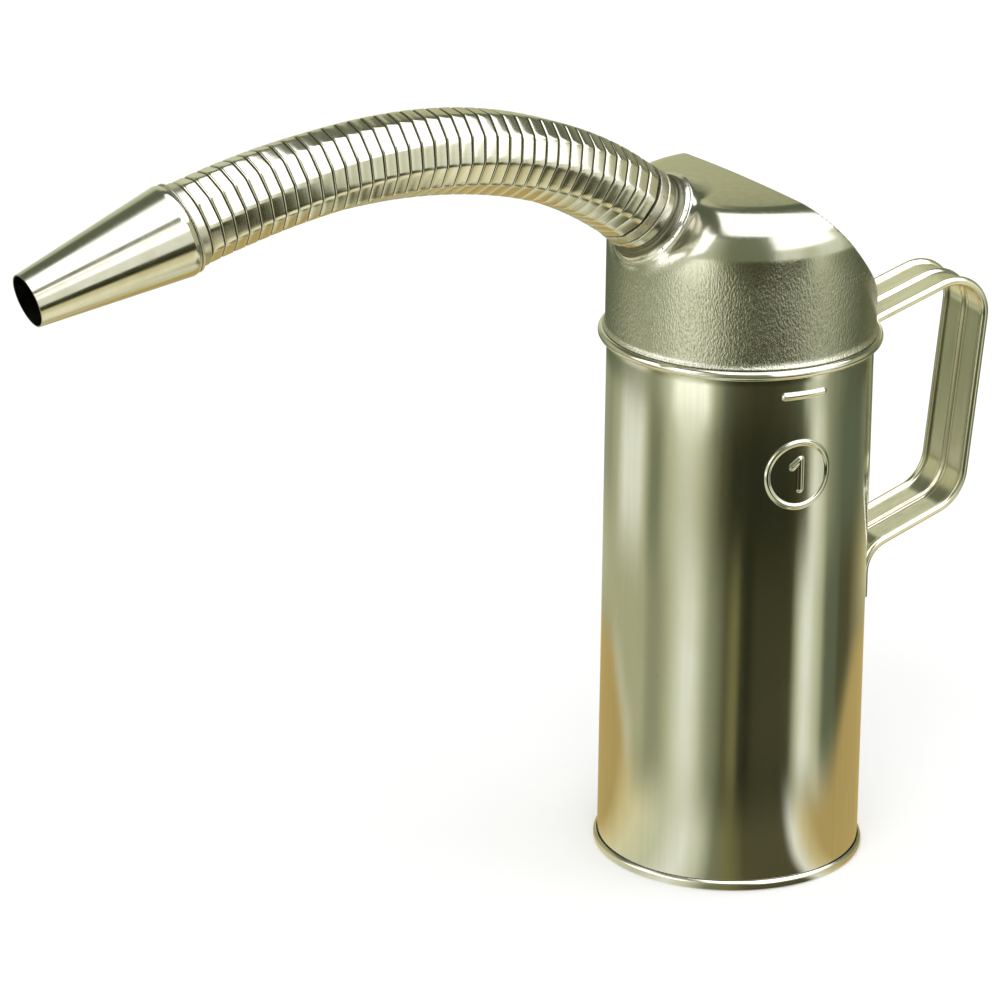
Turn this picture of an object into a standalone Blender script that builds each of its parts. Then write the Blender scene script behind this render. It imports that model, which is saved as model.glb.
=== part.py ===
"""Tinplate oil measuring jug with a hood, a flexible strip-wound spout and a strap handle.

Standalone Blender 4.5 script, in metres with +Z up. The origin is the centre of the flat base.
The spout points to -X, the handle to +X, and the volume mark of the real jug faces -Y.
Each turn of the spout is one ring, whose origin lies on the hinge to the turn before it.
"""
import math

import bmesh
import bpy
from mathutils import Matrix, Vector

# Sheet metal and the gap between pieces that touch
sheet = 0.0004
clearance = 0.0003
overrun = 0.002

# Body: a cylinder with its top edge curled outward round a wire
body_radius = 0.0437
rim_height = 0.180
bead_radius = 0.00165
curl_start = math.radians(180)
curl_end = math.radians(-120)
curl_steps = 7
wire_steps = 8

# Base: a flat panel folded up over the body's bottom flange
seam_overhang = 0.00125
seam_height = 0.0032
seam_corner = 0.0005

# Hood: a drawn cup with its rear cut away on a slant
hood_overhang = 0.0006
hood_radius = body_radius + hood_overhang
hood_height = 0.0523
roof_height = rim_height + hood_height
roof_rise = 0.0011
shoulder_radius = 0.0148
flare_out = 0.0009
flare_height = 0.0012
cut_top_x = -0.0005
cut_foot_reach = 0.0019
cut_foot_x = hood_radius + cut_foot_reach
cut_foot_rise = 0.0027
cut_foot_height = rim_height + cut_foot_rise
cut_bow = 0.0003
cut_turn = math.radians(4.5)
cut_steps = 6
hood_solder_thickness = 0.0007
hood_solder_drop = 0.0012
hood_solder_height = 0.0050

# Spout path, from the middle of the gap before the first turn
spout_start_inset = 0.0004
spout_start_rise = -0.00115
spout_start_x = spout_start_inset - hood_radius
spout_start_z = roof_height + spout_start_rise
spout_start_angle = math.radians(38.0)
spout_start_bend = 0.112
spout_end_bend = 0.372
turn_count = 37
turn_pitch = 0.00443
turn_gap = 0.00095
turn_sides = 10
turn_twist = math.radians(1.2)
first_corner = math.radians(17.0)

# Section of one turn, with corner radii
turn_radius = 0.0138
lip_depth = 0.0004
lip_play = 0.0009
strip_play = 0.0004

# Neck and its solder, measured back from the start of the spout
neck_slope = math.radians(38.5)
neck_radius = 0.0132
neck_sheet = 0.0005
neck_foot_depth = 0.0036
neck_bead_radius = 0.0016
neck_bead_reach = 0.0152
neck_bead_steps = 6
spigot_radius = 0.0126
spigot_length = 0.0038
sleeve_radius = 0.0139
start_sleeve_length = 0.0033
sleeve_solder_width = 0.0012
sleeve_solder_radius = 0.0143

# Hood round the neck: flattened on a slant, with a raised seat that flares into the roof
pad_depth = 0.0124
boss_radius = 0.0164
boss_rise = 0.0003
boss_depth = 0.022
boss_flare = math.radians(8)
neck_solder_reach = 0.0013
neck_solder_height = 0.0010

# Nozzle: a lap-seamed cone with a turned-in shoulder, on a sleeve
cone_length = 0.0516
cone_start = 0.0062
mouth_radius = 0.00875
cone_radius = 0.0151
shoulder_length = 0.0018
end_sleeve_length = 0.0095
nozzle_solder_radius = 0.0004

# Handle: a strap with rolled edges and a pressed rib
strap_width = 0.0245
strap_sheet = 0.0006
strap_edge_radius = 0.0015
rib_width = 0.0040
rib_height = 0.0010
strap_root_inset = 0.0017
strap_root_drop = 0.0011
arm_slope = math.radians(17.0)
grip_reach = 0.0468
grip_length = 0.0824
grip_lean = math.radians(6.1)
lower_arm_slope = math.radians(18.8)
tab_length = 0.0165
upper_bend_radius = 0.013
lower_bend_radius = 0.014
tab_bend_radius = 0.011
bend_steps = 6
edge_steps = 6

# Facets of the round pieces
body_sides = 48
spout_sides = 32


def clear_scene():
    for item in list(bpy.data.objects):
        bpy.data.objects.remove(item, do_unlink=True)


def tinplate(name, colour, roughness):
    material = bpy.data.materials.new(name)
    material.use_nodes = True
    shader = material.node_tree.nodes["Principled BSDF"]
    shader.inputs["Base Color"].default_value = (*colour, 1.0)
    shader.inputs["Roughness"].default_value = roughness
    shader.inputs["Metallic"].default_value = 1.0
    material.diffuse_color = (*colour, 1.0)
    return material


def add_object(name, mesh_builder, material, matrix=None):
    """Wrap a finished bmesh in an object, with its faces pointing outward."""
    bmesh.ops.recalc_face_normals(mesh_builder, faces=mesh_builder.faces)
    mesh = bpy.data.meshes.new(name)
    mesh_builder.to_mesh(mesh)
    mesh_builder.free()
    mesh.shade_smooth()
    mesh.set_sharp_from_angle(angle=math.radians(30))
    mesh.materials.append(material)
    item = bpy.data.objects.new(name, mesh)
    bpy.context.scene.collection.objects.link(item)
    if matrix is not None:
        item.matrix_world = matrix
    return item


def turned(outline, sides, closed=True, phase=0.0):
    """Turn an outline of (radius, height) points round the Z axis."""
    builder = bmesh.new()
    start = Matrix.Rotation(phase, 3, "Z")
    points = [builder.verts.new(start @ Vector((radius, 0, height))) for radius, height in outline]
    edges = [builder.edges.new(pair) for pair in zip(points, points[1:])]
    if closed:
        edges.append(builder.edges.new((points[-1], points[0])))
    bmesh.ops.spin(
        builder,
        geom=points + edges,
        cent=(0, 0, 0),
        axis=(0, 0, 1),
        angle=2 * math.pi,
        steps=sides,
        use_merge=True,
    )
    bmesh.ops.remove_doubles(builder, verts=builder.verts, dist=1e-7)
    bmesh.ops.dissolve_degenerate(builder, dist=1e-7, edges=builder.edges)
    return builder


def arc(centre, radius, start, end, steps):
    """Points along an arc, both ends included."""
    angles = [start + (end - start) * step / steps for step in range(steps + 1)]
    return [
        (centre[0] + radius * math.cos(angle), centre[1] + radius * math.sin(angle))
        for angle in angles
    ]


def as_guide(item):
    item.hide_render = True
    item.display_type = "WIRE"
    return item


def combine(target, tool, operation):
    modifier = target.modifiers.new(tool.name, "BOOLEAN")
    modifier.operation = operation
    modifier.solver = "EXACT"
    modifier.object = tool


# Places along the spout
def bend_angle(distance):
    """Slope of the spout's axis above the horizontal, at a distance along it."""
    length = turn_count * turn_pitch
    start_curve = 1 / spout_start_bend
    end_curve = 1 / spout_end_bend
    turned_by = start_curve * distance + (end_curve - start_curve) * distance**2 / (2 * length)
    return spout_start_angle - turned_by


def spout_frame(place, slope):
    """Matrix with local Z along the spout's axis and local X toward -Y."""
    along = Vector((-math.cos(slope), 0, math.sin(slope)))
    across = Vector((0, -1, 0))
    up = along.cross(across)
    turn = Matrix((across, up, along)).transposed()
    return Matrix.Translation(place) @ turn.to_4x4()


def spout_places():
    """Hinge point and slope of each turn, and of the nozzle after the last."""
    place = Vector((spout_start_x, 0, spout_start_z))
    places = []
    for number in range(turn_count):
        slope = bend_angle((number + 1 / 2) * turn_pitch)
        places.append((place.copy(), slope))
        place = place + turn_pitch * Vector((-math.cos(slope), 0, math.sin(slope)))
    places.append((place, bend_angle(turn_count * turn_pitch)))
    return places


# Body, rim and base
def bead_centre():
    return (body_radius - sheet + bead_radius, rim_height)


def make_body(material):
    flange_radius = body_radius + seam_overhang - sheet - clearance
    foot = sheet + clearance
    outline = [
        (body_radius - sheet, foot),
        (flange_radius, foot),
        (flange_radius, foot + sheet),
        (body_radius, foot + sheet),
    ]
    outline += arc(bead_centre(), bead_radius - sheet, curl_start, curl_end, curl_steps)
    outline += arc(bead_centre(), bead_radius, curl_end, curl_start, curl_steps)
    add_object("body_shell", turned(outline, body_sides), material)


def make_rim_wire(material):
    radius = bead_radius - sheet - clearance
    outline = arc(bead_centre(), radius, 0, 2 * math.pi, wire_steps)[:-1]
    add_object("rim_wire", turned(outline, body_sides), material)


def make_base(material):
    outer = body_radius + seam_overhang
    outline = [
        (0, 0),
        (outer - seam_corner, 0),
        (outer, seam_corner),
        (outer, seam_height - seam_corner),
        (outer - seam_corner, seam_height),
        (body_radius + clearance, seam_height),
        (body_radius + clearance, seam_height - sheet),
        (outer - sheet, seam_height - sheet),
        (outer - sheet, sheet),
        (0, sheet),
    ]
    add_object("base_panel", turned(outline, body_sides, closed=False), material)


# Hood
def hood_outline(inset, foot):
    """Half section of the hood's cup, moved inward by the inset, from foot to roof."""
    radius = hood_radius - inset
    corner = (hood_radius - shoulder_radius, roof_height - shoulder_radius)
    skirt_foot = rim_height + bead_radius + clearance
    outline = [
        (0, foot),
        (radius + flare_out, foot),
        (radius + flare_out, skirt_foot),
        (radius, skirt_foot + flare_height),
    ]
    outline += arc(corner, shoulder_radius - inset, 0, math.pi / 2, bend_steps)
    outline += [
        (corner[0] / 2, roof_height + roof_rise * 3 / 4 - inset),
        (0, roof_height + roof_rise - inset),
    ]
    return outline


def boss_outline(inset):
    """Half section of the raised seat round the neck, moved inward by the inset."""
    foot_radius = boss_radius + boss_depth * math.tan(boss_flare) - inset
    return [
        (0, -pad_depth - boss_depth),
        (foot_radius, -pad_depth - boss_depth),
        (boss_radius - inset, -pad_depth + boss_rise - inset),
        (0, -pad_depth + boss_rise - inset),
    ]


def bore_outline():
    """Half section of the hole that the neck passes through."""
    bore = neck_radius + clearance
    return [
        (0, -pad_depth - boss_depth),
        (bore, -pad_depth - boss_depth),
        (bore, -pad_depth + overrun),
        (0, -pad_depth + overrun),
    ]


def flattened(builder, neck_frame, inset):
    """Cut a turned solid flat across the neck's axis, where the neck is seated."""
    along = neck_frame.to_3x3() @ Vector((0, 0, 1))
    place = neck_frame @ Vector((0, 0, -pad_depth - inset))
    geometry = builder.verts[:] + builder.edges[:] + builder.faces[:]
    bmesh.ops.bisect_plane(
        builder, geom=geometry, plane_co=place, plane_no=along, clear_outer=True, dist=1e-7
    )
    rim = [edge for edge in builder.edges if edge.is_boundary]
    bmesh.ops.contextual_create(builder, geom=rim)
    return builder


def make_rear_cutter(material):
    """Prism behind the hood's slanted opening, whose edge bows a little to the rear."""
    far = hood_radius + flare_out + overrun
    top = roof_height + roof_rise + overrun
    run = cut_foot_x - cut_top_x
    drop = roof_height - cut_foot_height
    edge = [(cut_top_x - run * (top - roof_height) / drop, top)]
    for step in range(cut_steps):
        share = step / cut_steps
        bow = 4 * cut_bow * share * (1 - share)
        edge.append((cut_top_x + run * share + bow, roof_height - drop * share))
    last_share = (far - cut_top_x) / run
    edge.append((far, roof_height - drop * last_share))
    edge.append((far, top))
    builder = bmesh.new()
    points = [builder.verts.new((x, -far, z)) for x, z in edge]
    face = builder.faces.new(points)
    swept = bmesh.ops.extrude_face_region(builder, geom=[face])
    moved = [item for item in swept["geom"] if isinstance(item, bmesh.types.BMVert)]
    bmesh.ops.translate(builder, verts=moved, vec=(0, 2 * far, 0))
    turn = Matrix.Rotation(cut_turn, 4, "Z")
    return as_guide(add_object("rear_cutter", builder, material, turn))


def make_hood(material, neck_frame):
    skirt_foot = rim_height + bead_radius + clearance
    outside = hood_outline(0, skirt_foot)
    outside.pop(2)
    cup = flattened(turned(outside, body_sides, closed=False), neck_frame, 0)
    hood = add_object("hood", cup, material)
    seat = turned(boss_outline(0), spout_sides, closed=False)
    combine(hood, as_guide(add_object("seat_outside", seat, material, neck_frame)), "UNION")
    inside = turned(hood_outline(sheet, skirt_foot - overrun), body_sides, closed=False)
    inside = flattened(inside, neck_frame, sheet)
    combine(hood, as_guide(add_object("hood_inside", inside, material)), "DIFFERENCE")
    under = turned(boss_outline(sheet), spout_sides, closed=False)
    combine(hood, as_guide(add_object("seat_inside", under, material, neck_frame)), "DIFFERENCE")
    bore = turned(bore_outline(), spout_sides, closed=False)
    combine(hood, as_guide(add_object("neck_bore", bore, material, neck_frame)), "DIFFERENCE")
    combine(hood, make_rear_cutter(material), "DIFFERENCE")


def make_hood_solder(material):
    """Solder run inside the joint between the body's rim and the hood's skirt."""
    wall = body_radius - sheet - clearance
    skirt = hood_radius - sheet - clearance
    foot = rim_height - hood_solder_drop
    top = foot + hood_solder_height
    outline = [
        (wall - hood_solder_thickness, foot),
        (wall, foot),
        (wall, rim_height),
        (skirt, top - 2 * hood_solder_thickness),
        (skirt, top),
        (skirt - hood_solder_thickness, top),
        (wall - hood_solder_thickness, rim_height),
    ]
    add_object("hood_solder", turned(outline, body_sides), material)


# Neck
def neck_profile(inset):
    """One face of the neck's sheet, from inside the hood to the end of its spigot."""
    seat = -pad_depth + boss_rise + clearance
    bead = (neck_bead_reach - neck_bead_radius, seat + neck_bead_radius)
    shoulder = -sleeve_end() - clearance - sleeve_solder_width
    points = [(neck_radius - inset, seat - boss_rise - clearance - neck_foot_depth)]
    points.append((neck_radius - inset, seat + inset))
    points += arc(bead, neck_bead_radius - inset, -math.pi / 2, math.pi / 2, neck_bead_steps)
    points += [
        (neck_radius - inset, seat + 2 * neck_bead_radius - inset + sheet),
        (neck_radius - inset, shoulder - inset),
        (spigot_radius - inset, shoulder - inset),
        (spigot_radius - inset, shoulder + spigot_length),
    ]
    return points


def make_neck(material, neck_frame):
    """Spun tube through the hood, with a bead on the seat and a spigot for the sleeve."""
    outline = neck_profile(0) + neck_profile(neck_sheet)[::-1]
    add_object("spout_neck", turned(outline, spout_sides), material, neck_frame)


def make_neck_solder(material, neck_frame):
    """Solder fillet between the neck's bead and the hood's seat."""
    seat = -pad_depth + boss_rise + clearance
    inner = neck_bead_reach + clearance
    outline = [
        (inner - neck_solder_height / 2, seat),
        (inner + neck_solder_reach, seat),
        (inner + neck_solder_height / 2, seat + neck_solder_height / 2),
        (inner, seat + neck_solder_height),
    ]
    add_object("neck_solder", turned(outline, spout_sides), material, neck_frame)


def sleeve_end():
    """Distance from the start of the spout back to the rear edge of its first sleeve."""
    return turn_gap / 2 + start_sleeve_length


def make_start_sleeve(material, neck_frame):
    """Sleeve soldered to the neck, whose inner lip carries the first turn."""
    end = -turn_gap / 2
    lip_radius = flat_radius(turn_radius - sheet - strip_play - lip_depth) - strip_play
    hook_radius = flat_radius(turn_radius - sheet) - strip_play
    lip_end = turn_gap / 2 + 2 * sheet + lip_play
    outline = [
        (sleeve_radius, end - start_sleeve_length),
        (sleeve_radius, end),
        (lip_radius, end),
        (lip_radius, lip_end - sheet),
        (hook_radius, lip_end),
        (lip_radius - sheet, lip_end),
        (lip_radius - sheet, end - sheet),
        (spigot_radius + clearance, end - sheet),
        (spigot_radius + clearance, end - start_sleeve_length),
    ]
    add_object("hose_start_sleeve", turned(outline, spout_sides), material, neck_frame)


def make_sleeve_solder(material, neck_frame):
    start = -sleeve_end() - clearance
    end = start - sleeve_solder_width
    bulge = (start + end) / 2
    outline = [
        (spigot_radius + clearance, end),
        (neck_radius, end),
        (sleeve_solder_radius, bulge),
        (sleeve_radius, start),
        (spigot_radius + clearance, start),
    ]
    add_object("sleeve_solder", turned(outline, spout_sides), material, neck_frame)


# Flexible hose
def flat_radius(corner_radius):
    """Distance from the axis to the middle of a side of the faceted hose."""
    return corner_radius * math.cos(math.pi / turn_sides)


def turn_outline():
    """Section of one turn: an outer band, and a lip that hooks under the next turn."""
    start = turn_gap / 2
    end = turn_pitch - turn_gap / 2
    lip_end = turn_pitch + turn_gap / 2 + 2 * sheet + lip_play
    band_inside = turn_radius - sheet
    hook_top = band_inside - strip_play
    hook_tip = hook_top - lip_depth
    lip_outside = hook_tip - strip_play
    lip_inside = lip_outside - sheet
    return [
        (turn_radius, start),
        (turn_radius, end),
        (lip_outside, end),
        (lip_outside, lip_end - sheet),
        (hook_top, lip_end),
        (lip_inside, lip_end),
        (lip_inside, end - sheet),
        (band_inside, end - sheet),
        (band_inside, start + sheet),
        (hook_tip, start),
    ]


def make_turns(material, places):
    """One ring per turn of the wound strip, each hung on the turn before it."""
    previous = None
    mesh = None
    for number in range(turn_count):
        place, slope = places[number]
        twist = Matrix.Rotation(first_corner - number * turn_twist, 4, "Z")
        matrix = spout_frame(place, slope) @ twist
        name = f"hose_turn_{number + 1:02d}"
        if mesh is None:
            item = add_object(name, turned(turn_outline(), turn_sides), material)
            mesh = item.data
            mesh.set_sharp_from_angle(angle=math.radians(20))
        else:
            item = bpy.data.objects.new(name, mesh)
            bpy.context.scene.collection.objects.link(item)
        if previous is not None:
            item.parent = previous[0]
            item.matrix_local = previous[1].inverted() @ matrix
        else:
            item.matrix_world = matrix
        previous = (item, matrix)


# Nozzle
def make_end_sleeve(material, nozzle_frame):
    """Sleeve that hooks over the last turn's lip and carries the nozzle."""
    start = turn_gap / 2
    hook_top = turn_radius - sheet - strip_play
    inside = hook_top + strip_play
    hook_tip = hook_top - lip_depth
    outline = [
        (inside + sheet, start),
        (inside + sheet, start + end_sleeve_length),
        (inside, start + end_sleeve_length),
        (inside, start + sheet),
        (hook_tip, start),
    ]
    add_object("nozzle_sleeve", turned(outline, spout_sides), material, nozzle_frame)


def make_nozzle(material, nozzle_frame):
    """Tapered nozzle with a rounded, turned-in shoulder at its wide end."""
    collar = turn_radius + clearance
    wide = cone_start
    end = cone_start + cone_length
    slope = (cone_radius - mouth_radius) / cone_length
    outline = [
        (collar, wide - shoulder_length),
        (collar + sheet, wide - shoulder_length),
        (cone_radius - sheet / 2, wide - shoulder_length / 3),
        (cone_radius, wide),
        (mouth_radius, end),
        (mouth_radius - sheet, end),
        (cone_radius - sheet - slope * sheet, wide + sheet),
        (collar, wide),
    ]
    add_object("nozzle_cone", turned(outline, spout_sides), material, nozzle_frame)


def make_nozzle_solder(material, nozzle_frame):
    """Solder in the step between the nozzle's shoulder and its sleeve."""
    edge = cone_start - shoulder_length - clearance
    centre = (turn_radius + clearance + nozzle_solder_radius, edge - nozzle_solder_radius)
    outline = arc(centre, nozzle_solder_radius, 0, 2 * math.pi, wire_steps)[:-1]
    add_object("nozzle_solder", turned(outline, spout_sides), material, nozzle_frame)


# Handle
def bent_path(corners, radii):
    """Points and headings along straight runs joined by round bends."""
    stations = []
    headings = [
        math.atan2(after[1] - before[1], after[0] - before[0])
        for before, after in zip(corners, corners[1:])
    ]
    stations.append((corners[0], headings[0]))
    for corner, radius, before, after in zip(corners[1:-1], radii, headings, headings[1:]):
        turn = math.remainder(after - before, 2 * math.pi)
        tangent = radius * math.tan(abs(turn) / 2)
        side = math.copysign(1, turn)
        start = (corner[0] - tangent * math.cos(before), corner[1] - tangent * math.sin(before))
        centre = (
            start[0] - side * radius * math.sin(before),
            start[1] + side * radius * math.cos(before),
        )
        for step in range(bend_steps + 1):
            heading = before + turn * step / bend_steps
            point = (
                centre[0] + side * radius * math.sin(heading),
                centre[1] - side * radius * math.cos(heading),
            )
            stations.append((point, heading))
    stations.append((corners[-1], headings[-1]))
    return stations


def strap_section():
    """Closed section of the strap, as (across, outward) points."""
    edge_centre = strap_width / 2 - strap_edge_radius
    half = strap_sheet / 2
    meet = math.asin(half / strap_edge_radius)
    left = arc((-edge_centre, 0), strap_edge_radius, meet, 2 * math.pi - meet, edge_steps)
    right = arc((edge_centre, 0), strap_edge_radius, meet - math.pi, math.pi - meet, edge_steps)
    rib = [
        (-rib_width / 2, 0),
        (-rib_width / 4, rib_height * 3 / 4),
        (0, rib_height),
        (rib_width / 4, rib_height * 3 / 4),
        (rib_width / 2, 0),
    ]
    inner = [(across, height - half) for across, height in rib]
    outer = [(across, height + half) for across, height in reversed(rib)]
    return left + inner + right + outer


def make_handle(material):
    edge_y = strap_width / 2 - strap_edge_radius
    edge_seat = math.sqrt((body_radius + clearance + strap_edge_radius) ** 2 - edge_y**2)
    tab_x = max(edge_seat, body_radius + clearance + strap_sheet / 2)
    root = (body_radius - strap_root_inset, rim_height - strap_root_drop)
    top_x = body_radius + grip_reach
    top_z = root[1] + (top_x - root[0]) * math.tan(arm_slope)
    foot_x = top_x - grip_length * math.sin(grip_lean)
    foot_z = top_z - grip_length * math.cos(grip_lean)
    tab_corner_z = foot_z - (foot_x - tab_x) * math.tan(lower_arm_slope)
    corners = [
        root,
        (top_x, top_z),
        (foot_x, foot_z),
        (tab_x, tab_corner_z),
        (tab_x, tab_corner_z - tab_length),
    ]
    stations = bent_path(corners, (upper_bend_radius, lower_bend_radius, tab_bend_radius))
    section = strap_section()
    builder = bmesh.new()
    rings = []
    for (x, z), heading in stations:
        outward = (-math.sin(heading), math.cos(heading))
        rings.append(
            [
                builder.verts.new((x + lift * outward[0], across, z + lift * outward[1]))
                for across, lift in section
            ]
        )
    for before, after in zip(rings, rings[1:]):
        for index in range(len(section)):
            following = (index + 1) % len(section)
            builder.faces.new((before[index], before[following], after[following], after[index]))
    builder.faces.new(rings[0])
    builder.faces.new(rings[-1])
    handle = add_object("handle_strap", builder, material)
    reach = bead_centre()[0] + bead_radius + clearance
    outline = [
        (0, rim_height - strap_width),
        (reach, rim_height - strap_width),
        (reach, rim_height + strap_width),
        (0, rim_height + strap_width),
    ]
    trimmer = add_object("strap_trimmer", turned(outline, body_sides, closed=False), material)
    combine(handle, as_guide(trimmer), "DIFFERENCE")


def main():
    clear_scene()
    places = spout_places()
    neck_frame = spout_frame(places[0][0], neck_slope)
    nozzle_frame = spout_frame(*places[-1])
    make_body(tinplate("body tinplate", (0.55, 0.55, 0.44), 0.22))
    make_rim_wire(tinplate("rim wire", (0.45, 0.45, 0.42), 0.45))
    make_base(tinplate("base tinplate", (0.50, 0.50, 0.40), 0.30))
    make_hood(tinplate("hood tinplate", (0.46, 0.46, 0.34), 0.42), neck_frame)
    make_hood_solder(tinplate("hood solder", (0.58, 0.58, 0.54), 0.50))
    make_neck(tinplate("neck tinplate", (0.46, 0.46, 0.36), 0.35), neck_frame)
    make_neck_solder(tinplate("neck solder", (0.66, 0.66, 0.60), 0.35), neck_frame)
    make_start_sleeve(tinplate("start sleeve", (0.55, 0.54, 0.45), 0.40), neck_frame)
    make_sleeve_solder(tinplate("sleeve solder", (0.62, 0.61, 0.55), 0.40), neck_frame)
    make_turns(tinplate("hose strip", (0.60, 0.58, 0.45), 0.25), places)
    make_end_sleeve(tinplate("end sleeve", (0.55, 0.54, 0.45), 0.35), nozzle_frame)
    make_nozzle(tinplate("nozzle tinplate", (0.60, 0.60, 0.50), 0.18), nozzle_frame)
    make_nozzle_solder(tinplate("nozzle solder", (0.64, 0.63, 0.57), 0.40), nozzle_frame)
    make_handle(tinplate("handle tinplate", (0.58, 0.57, 0.44), 0.28))


main()
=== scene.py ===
"""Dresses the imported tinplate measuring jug: body, base, hood, neck, wound spout, nozzle and handle.

Everything is in metres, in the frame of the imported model: the base stands on Z = 0, the spout
points to -X, the handle to +X, and the raised fill mark faces -Y.
"""
import math

import bmesh
import bpy
from mathutils import Matrix, Vector, noise


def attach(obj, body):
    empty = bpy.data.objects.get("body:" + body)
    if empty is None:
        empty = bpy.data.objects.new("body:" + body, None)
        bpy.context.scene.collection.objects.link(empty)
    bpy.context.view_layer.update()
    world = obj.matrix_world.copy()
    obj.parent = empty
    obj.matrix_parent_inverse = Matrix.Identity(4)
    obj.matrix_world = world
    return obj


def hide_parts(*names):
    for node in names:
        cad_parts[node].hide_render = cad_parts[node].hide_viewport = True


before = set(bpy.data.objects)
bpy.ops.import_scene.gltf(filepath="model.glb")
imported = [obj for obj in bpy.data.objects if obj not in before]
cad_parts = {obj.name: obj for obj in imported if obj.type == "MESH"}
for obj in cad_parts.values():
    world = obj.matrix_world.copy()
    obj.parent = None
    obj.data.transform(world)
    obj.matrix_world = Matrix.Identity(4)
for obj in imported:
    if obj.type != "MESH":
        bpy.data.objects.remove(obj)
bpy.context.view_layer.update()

bl_info = {
    "name": "Tinplate Measuring Jug",
    "version": (1, 0, 0),
    "blender": (4, 5, 0),
    "location": "View3D > Sidebar > Jug",
    "description": "Builds a tinplate measuring jug with a flexible spout around its packed model",
    "category": "Add Mesh",
}

# Sheet metal
clearance = 0.0003

# Body
curl_start = math.radians(180)
curl_end = math.radians(-120)

# Base
seam_overhang = 0.00125
seam_height = 0.0032
seam_corner = 0.0008

# Hood
hood_overhang = 0.0006
roof_rise = 0.0011
shoulder_radius = 0.0148
flare_out = 0.0009
flare_height = 0.0012
cut_top_x = -0.0005
cut_foot_reach = 0.0019
cut_foot_rise = 0.0027
cut_turn = math.radians(4.5)

# Spout
spout_start_inset = 0.0004
spout_start_rise = -0.00115
spout_start_angle = math.radians(38.0)
spout_start_bend = 0.112
spout_end_bend = 0.372
turn_count = 37
turn_pitch = 0.00443
turn_gap = 0.00095
turn_sides = 10
turn_twist = math.radians(1.2)
first_corner = math.radians(17.0)
lip_depth = 0.0004
lip_play = 0.0009
strip_play = 0.0004

# Neck
neck_slope = math.radians(38.5)
neck_radius = 0.0132
neck_sheet = 0.0005
neck_foot_depth = 0.0036
neck_bead_radius = 0.0016
neck_bead_reach = 0.0152
spigot_radius = 0.0126
spigot_length = 0.0038
sleeve_radius = 0.0139
start_sleeve_length = 0.0033
sleeve_solder_width = 0.0012
sleeve_solder_radius = 0.0143
pad_depth = 0.0124
boss_radius = 0.0164
boss_rise = 0.0003
boss_flare = math.radians(8)

# Nozzle
cone_length = 0.0516
cone_start = 0.0062
mouth_radius = 0.00875
cone_radius = 0.0151
shoulder_length = 0.0018
end_sleeve_length = 0.0095
nozzle_solder_radius = 0.0004

# Handle
strap_sheet = 0.0006
strap_edge_radius = 0.0015
rib_width = 0.0040
rib_height = 0.0010
strap_root_inset = 0.0017
strap_root_drop = 0.0011
arm_slope = math.radians(17.0)
grip_reach = 0.0468
grip_length = 0.0824
grip_lean = math.radians(6.1)
lower_arm_slope = math.radians(18.8)
tab_length = 0.0165
bend_radii = (0.013, 0.014, 0.011)

full_turn = 2 * math.pi


# Settings a user would change
def length_setting(name, description, default):
    return bpy.props.FloatProperty(name=name, description=description, default=default, unit="LENGTH")


def colour_setting(name, description, default):
    return bpy.props.FloatVectorProperty(
        name=name, description=description, default=default, subtype="COLOR"
    )


class JugSizes(bpy.types.PropertyGroup):
    """Sizes of the jug's dressed pieces."""

    sheet: length_setting("Sheet", "Thickness of the tinplate", 0.0004)
    body_radius: length_setting("Body radius", "Outer radius of the body", 0.0437)
    rim_height: length_setting("Rim height", "Height of the wired rim", 0.180)
    bead_radius: length_setting("Rim bead", "Radius of the curl round the rim's wire", 0.00165)
    hood_height: length_setting("Hood height", "Height of the hood above the rim", 0.0523)
    turn_radius: length_setting("Spout radius", "Corner radius of the wound spout", 0.0138)
    strap_width: length_setting("Strap width", "Width of the handle's strap", 0.0245)
    mark_height: length_setting("Fill mark height", "Height of the raised fill bar", 0.172)


class JugColours(bpy.types.PropertyGroup):
    """Colours of the jug's metals and its floor."""

    tin: colour_setting("Tinplate", "Bright tinplate", (0.76, 0.75, 0.68))
    tin_stain: colour_setting("Stain", "Warm film on the tinplate", (0.64, 0.60, 0.46))
    satin: colour_setting("Satin tin", "Drawn tinplate of the hood", (0.63, 0.63, 0.54))
    strip: colour_setting("Spout strip", "Wound strip of the spout", (0.80, 0.78, 0.69))
    solder: colour_setting("Solder", "Bright solder", (0.74, 0.73, 0.68))
    dull_tin: colour_setting("Dull tin", "Matt sleeve and solder at the neck", (0.62, 0.60, 0.52))
    end_tin: colour_setting("End sleeve", "Sleeve under the nozzle", (0.66, 0.64, 0.56))
    handle_tin: colour_setting("Handle tin", "Pale tinplate of the handle", (0.88, 0.85, 0.72))
    wire_steel: colour_setting("Rim wire", "Steel wire in the rim", (0.45, 0.44, 0.41))
    floor: colour_setting("Floor", "Pale studio floor", (0.93, 0.93, 0.93))


def settings(context):
    return context.scene.jug_sizes, context.scene.jug_colours


# Shader maths
class Wire:
    """A node's output, whose arithmetic adds Math nodes."""

    def __init__(self, board, socket):
        self.board = board
        self.socket = socket

    def maths(self, operation, *values):
        return self.board.node("Math", {"operation": operation}, dict(enumerate(values)))

    def __add__(self, other):
        return self.maths("ADD", self, other)

    def __radd__(self, other):
        return self.maths("ADD", other, self)

    def __sub__(self, other):
        return self.maths("SUBTRACT", self, other)

    def __rsub__(self, other):
        return self.maths("SUBTRACT", other, self)

    def __mul__(self, other):
        return self.maths("MULTIPLY", self, other)

    def __rmul__(self, other):
        return self.maths("MULTIPLY", other, self)

    def __truediv__(self, other):
        return self.maths("DIVIDE", self, other)

    def __pow__(self, other):
        return self.maths("POWER", self, other)

    def clamped(self):
        result = self.maths("ADD", self, 0.0)
        result.socket.node.use_clamp = True
        return result


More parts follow.
